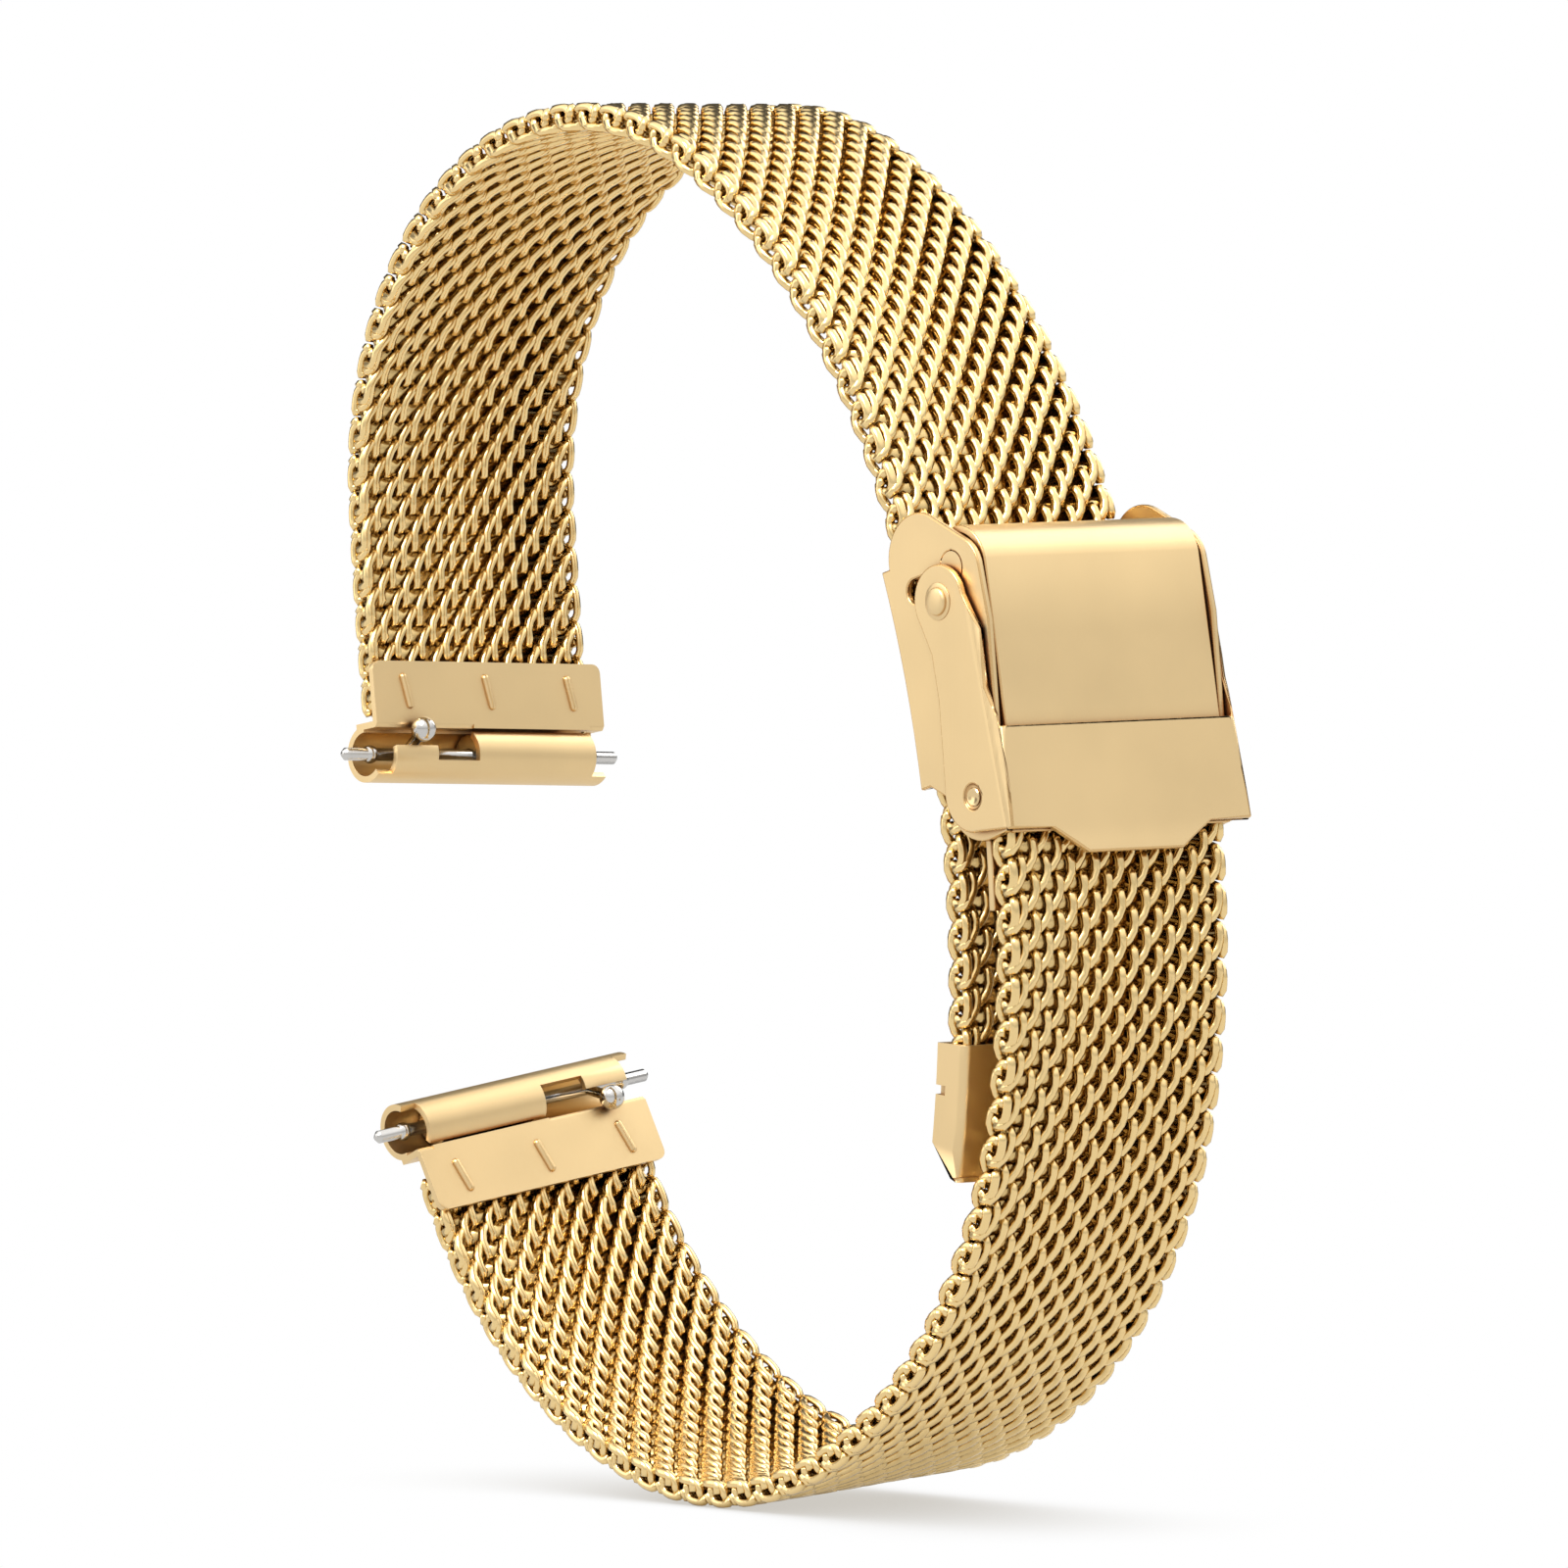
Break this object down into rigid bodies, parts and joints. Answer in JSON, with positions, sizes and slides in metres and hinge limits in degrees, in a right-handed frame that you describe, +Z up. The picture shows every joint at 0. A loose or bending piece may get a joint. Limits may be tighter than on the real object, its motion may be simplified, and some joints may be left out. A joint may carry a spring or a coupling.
{
  "type": "mesh watch band",
  "caption": "Gold woven mesh watch band with a sliding fold-over clasp, hooked strap, tail tip and quick release spring bars in rolled end caps.",
  "frame": {"origin": "midway between the centres of the two spring bars, where the watch head sits", "axes": "+X outward from the watch head through the clasp, +Y along the spring bars, +Z up from the lower strap's bar to the upper strap's"},
  "size_m": [0.0571, 0.0198, 0.0754],
  "materials": {
    "gold_mesh": "woven flattened wire, satin",
    "gold_plate": "fine brushed plating on steel sheet",
    "bar_steel": "turned steel",
    "spring_steel": "drawn spring wire"
  },
  "bodies": {
    "strap": {"upper_mesh": "gold_mesh", "tail_tip": "gold_plate", "upper_cap": "gold_plate", "upper_barrel": "bar_steel", "upper_fixed_tip": "bar_steel", "upper_spring": "spring_steel"},
    "upper_release": {"upper_release_tip": "bar_steel"},
    "slider": {"clasp_frame": "gold_plate", "hook_bar": "gold_plate", "rivet_left": "gold_plate", "rivet_right": "gold_plate"},
    "catch": {"catch": "gold_plate"},
    "lock": {"lock_plate": "gold_plate", "lock_pin": "gold_plate"},
    "hooked_strap": {"hook_plate": "gold_plate", "clamp_plate": "gold_plate", "lower_mesh": "gold_mesh", "lower_cap": "gold_plate", "lower_barrel": "bar_steel", "lower_fixed_tip": "bar_steel", "lower_spring": "spring_steel"},
    "lower_release": {"lower_release_tip": "bar_steel"}
  },
  "joints": [
    {"name": "slider_travel", "type": "hinge", "parent": "strap", "child": "slider", "pos_m": [-0.01549, 0.00125, -0.00106], "axis": [0, 1, 0], "range_deg": [0, 8]},
    {"name": "catch_open", "type": "hinge", "parent": "slider", "child": "catch", "pos_m": [0.04607, 0.00125, 0.01988], "axis": [0, -1, 0], "range_deg": [0, 140]},
    {"name": "strap_unhook", "type": "hinge", "parent": "slider", "child": "hooked_strap", "pos_m": [0.04657, 0.00125, 0.02172], "axis": [0, -1, 0], "range_deg": [0, 56]},
    {"name": "lock_release", "type": "hinge", "parent": "slider", "child": "lock", "pos_m": [0.04451, 0.00125, 0.02057], "axis": [0, -1, 0], "range_deg": [0, 35]},
    {"name": "upper_quick_release", "type": "slide", "parent": "strap", "child": "upper_release", "axis": [0, 0.9989, -0.0462], "range_m": [0, 0.0015], "stiffness_N_per_m": 400, "springref_m": -0.001, "deforming": ["upper_spring"]},
    {"name": "lower_quick_release", "type": "slide", "parent": "hooked_strap", "child": "lower_release", "axis": [0, -0.9905, -0.1374], "range_m": [0, 0.0015], "stiffness_N_per_m": 400, "springref_m": -0.001, "deforming": ["lower_spring"]}
  ],
  "couplings": [
    {"joint": "strap_unhook", "follows": "catch_open", "ratio": 0.4},
    {"joint": "lock_release", "follows": "catch_open", "ratio": 0.25}
  ]
}
